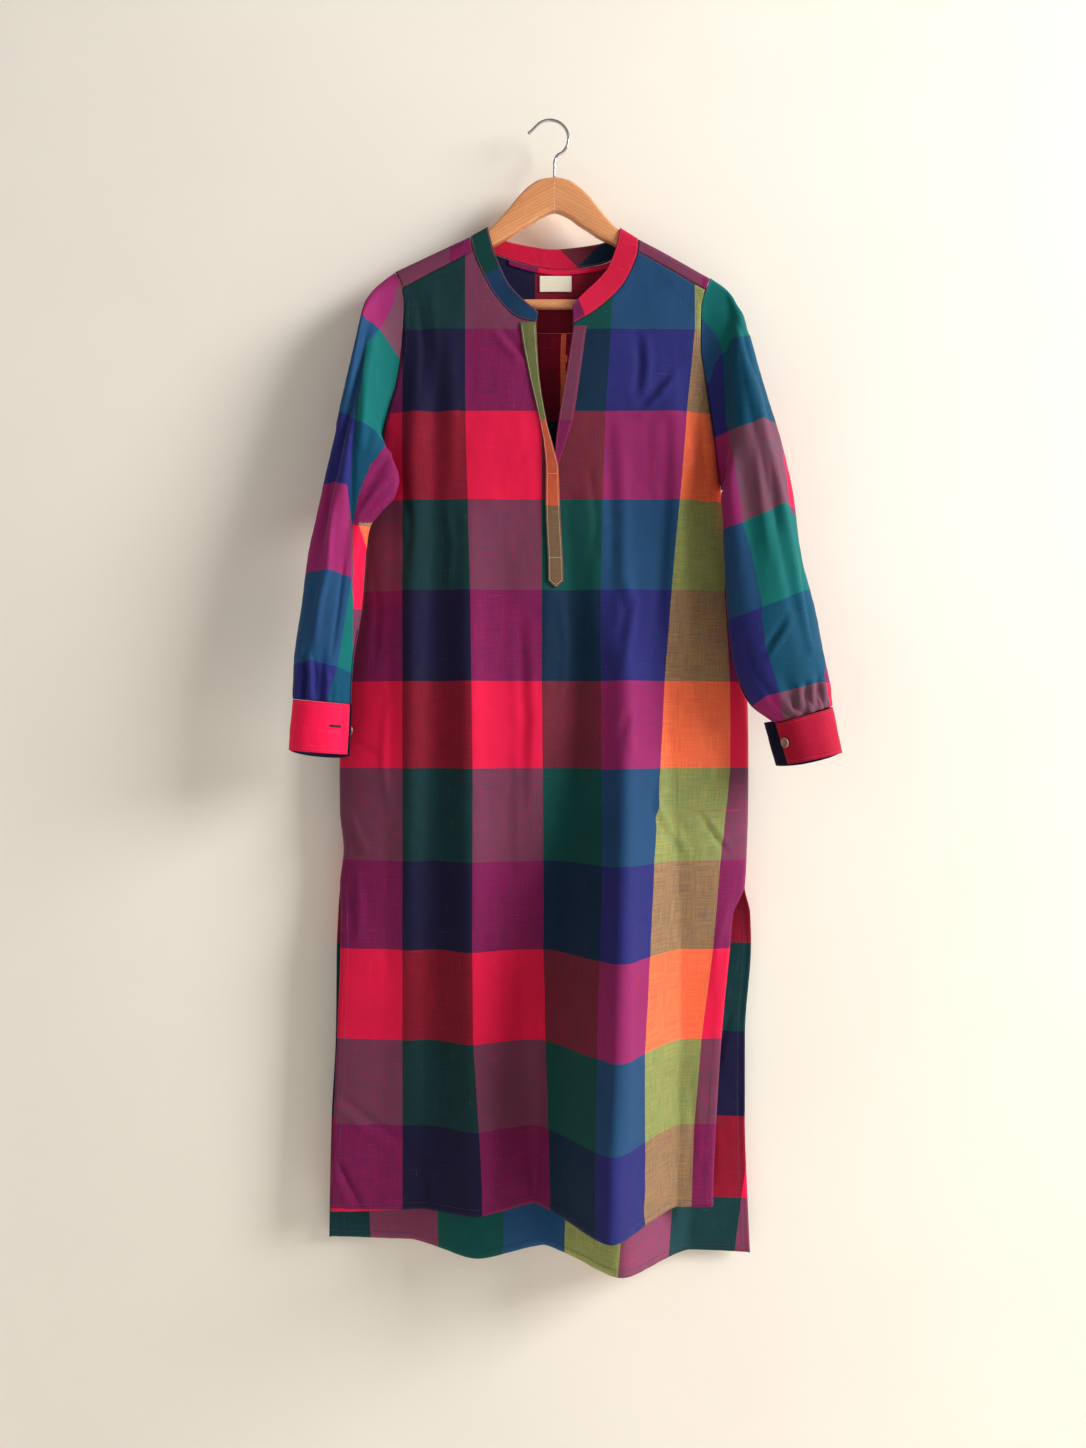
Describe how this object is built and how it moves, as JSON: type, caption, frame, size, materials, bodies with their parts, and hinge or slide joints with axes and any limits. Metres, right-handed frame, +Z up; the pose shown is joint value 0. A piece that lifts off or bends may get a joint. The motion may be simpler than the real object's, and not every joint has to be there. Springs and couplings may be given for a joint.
{
  "type": "kaftan on wooden clothes hanger",
  "caption": "Long checked cotton kaftan with a band collar, a V neck slit, open cuffs and slit sides, hanging on a wooden clothes hanger with a wire hook.",
  "frame": {"origin": "inside top of the hook's bend, where a peg or rail carries it", "axes": "+X to the viewer's right across the shoulders, +Y to the garment's back and the wall, +Z up"},
  "size_m": [0.6675, 0.1717, 1.4247],
  "materials": {
    "front": "plain-weave handloom cotton, matt with a slight sheen",
    "back": "plain-weave handloom cotton, matt with a slight sheen",
    "yoke": "plain-weave handloom cotton, matt with a slight sheen",
    "collar_band": "plain-weave handloom cotton, matt with a slight sheen",
    "neck_tape": "plain-weave handloom cotton, matt with a slight sheen",
    "label": "plain-weave handloom cotton, matt with a slight sheen",
    "placket_over": "plain-weave handloom cotton, matt with a slight sheen",
    "placket_under": "plain-weave handloom cotton, matt with a slight sheen",
    "pocket_bag": "plain-weave handloom cotton, matt with a slight sheen",
    "sleeve_left": "plain-weave handloom cotton, matt with a slight sheen",
    "cuff_left": "plain-weave handloom cotton, matt with a slight sheen",
    "sleeve_right": "plain-weave handloom cotton, matt with a slight sheen",
    "cuff_right": "plain-weave handloom cotton, matt with a slight sheen",
    "horn": "polished horn",
    "hanger_wood": "satin varnished beech",
    "hook_wire": "polished"
  },
  "bodies": {
    "root": {"front": "front", "back": "back", "yoke": "yoke", "collar_band": "collar_band", "neck_tape": "neck_tape", "label": "label", "placket_over": "placket_over", "placket_under": "placket_under", "pocket_bag": "pocket_bag", "sleeve_left": "sleeve_left", "cuff_left": "cuff_left", "button_left": "horn", "sleeve_right": "sleeve_right", "cuff_right": "cuff_right", "button_right": "horn", "hanger_arm_left": "hanger_wood", "hanger_arm_right": "hanger_wood", "hanger_bar": "hanger_wood", "hanger_hook": "hook_wire"}
  },
  "joints": []
}
